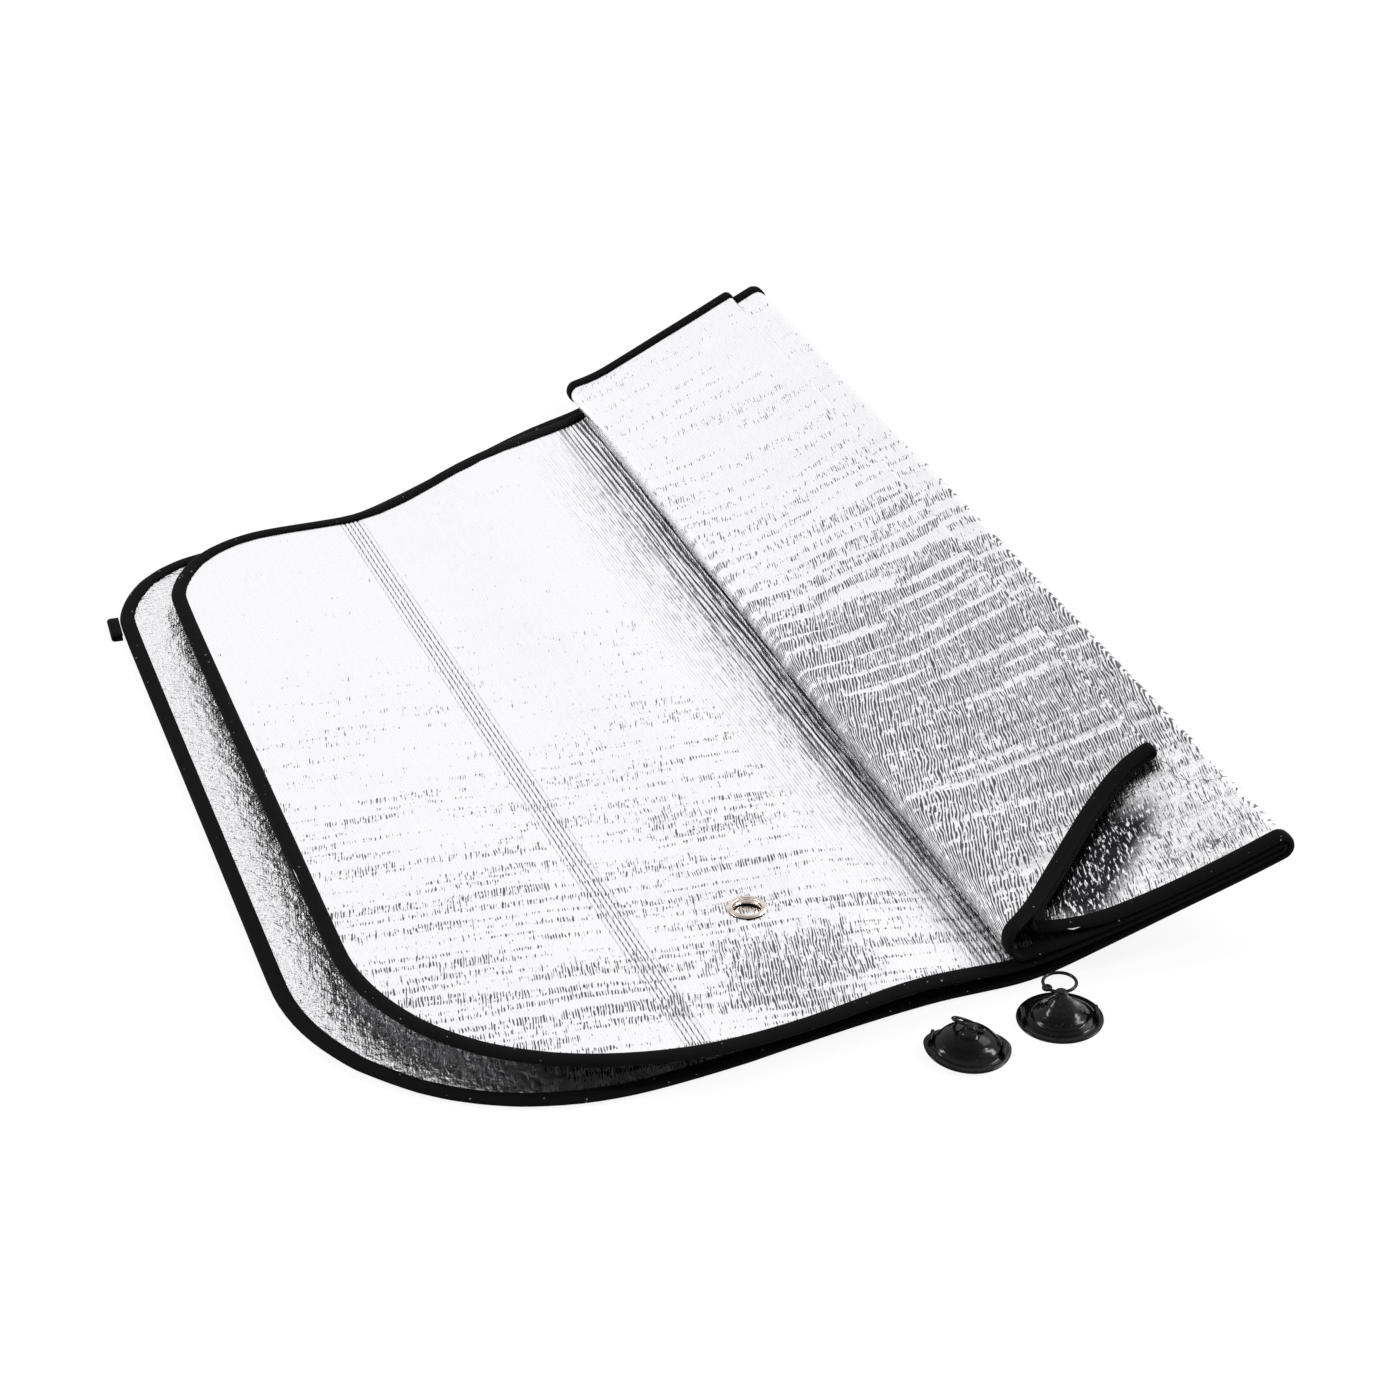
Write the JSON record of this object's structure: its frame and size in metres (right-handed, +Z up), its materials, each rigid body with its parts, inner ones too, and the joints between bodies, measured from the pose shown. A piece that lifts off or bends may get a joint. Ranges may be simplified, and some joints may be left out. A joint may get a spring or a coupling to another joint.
{
  "type": "windscreen sunshade",
  "caption": "Folded reflective foil windscreen sunshade with a sewn edge binding, metal eyelets, an elastic closing loop and loose suction cups.",
  "frame": {"origin": "on the floor, under the middle of the box round the whole set", "axes": "+Z up; +Y along the fold lines, away from the mirror notch; +X across them, towards the raised folded stack"},
  "size_m": [0.424, 0.623, 0.057],
  "materials": {
    "foil": "bright creped metallised film on thin foam",
    "tape": "black woven binding tape, slight satin sheen",
    "eyelet_metal": "pale plated metal, rolled",
    "elastic": "black woven elastic",
    "cup": "glossy black soft plastic"
  },
  "bodies": {
    "root": {"foil_sheet": "foil", "edge_binding": "tape", "upper_eyelet": "eyelet_metal", "upper_eyelet_washer": "eyelet_metal", "lower_eyelet": "eyelet_metal", "lower_eyelet_washer": "eyelet_metal", "elastic_loop": "elastic", "suction_cup_right": "cup", "suction_cup_left": "cup"}
  },
  "joints": []
}
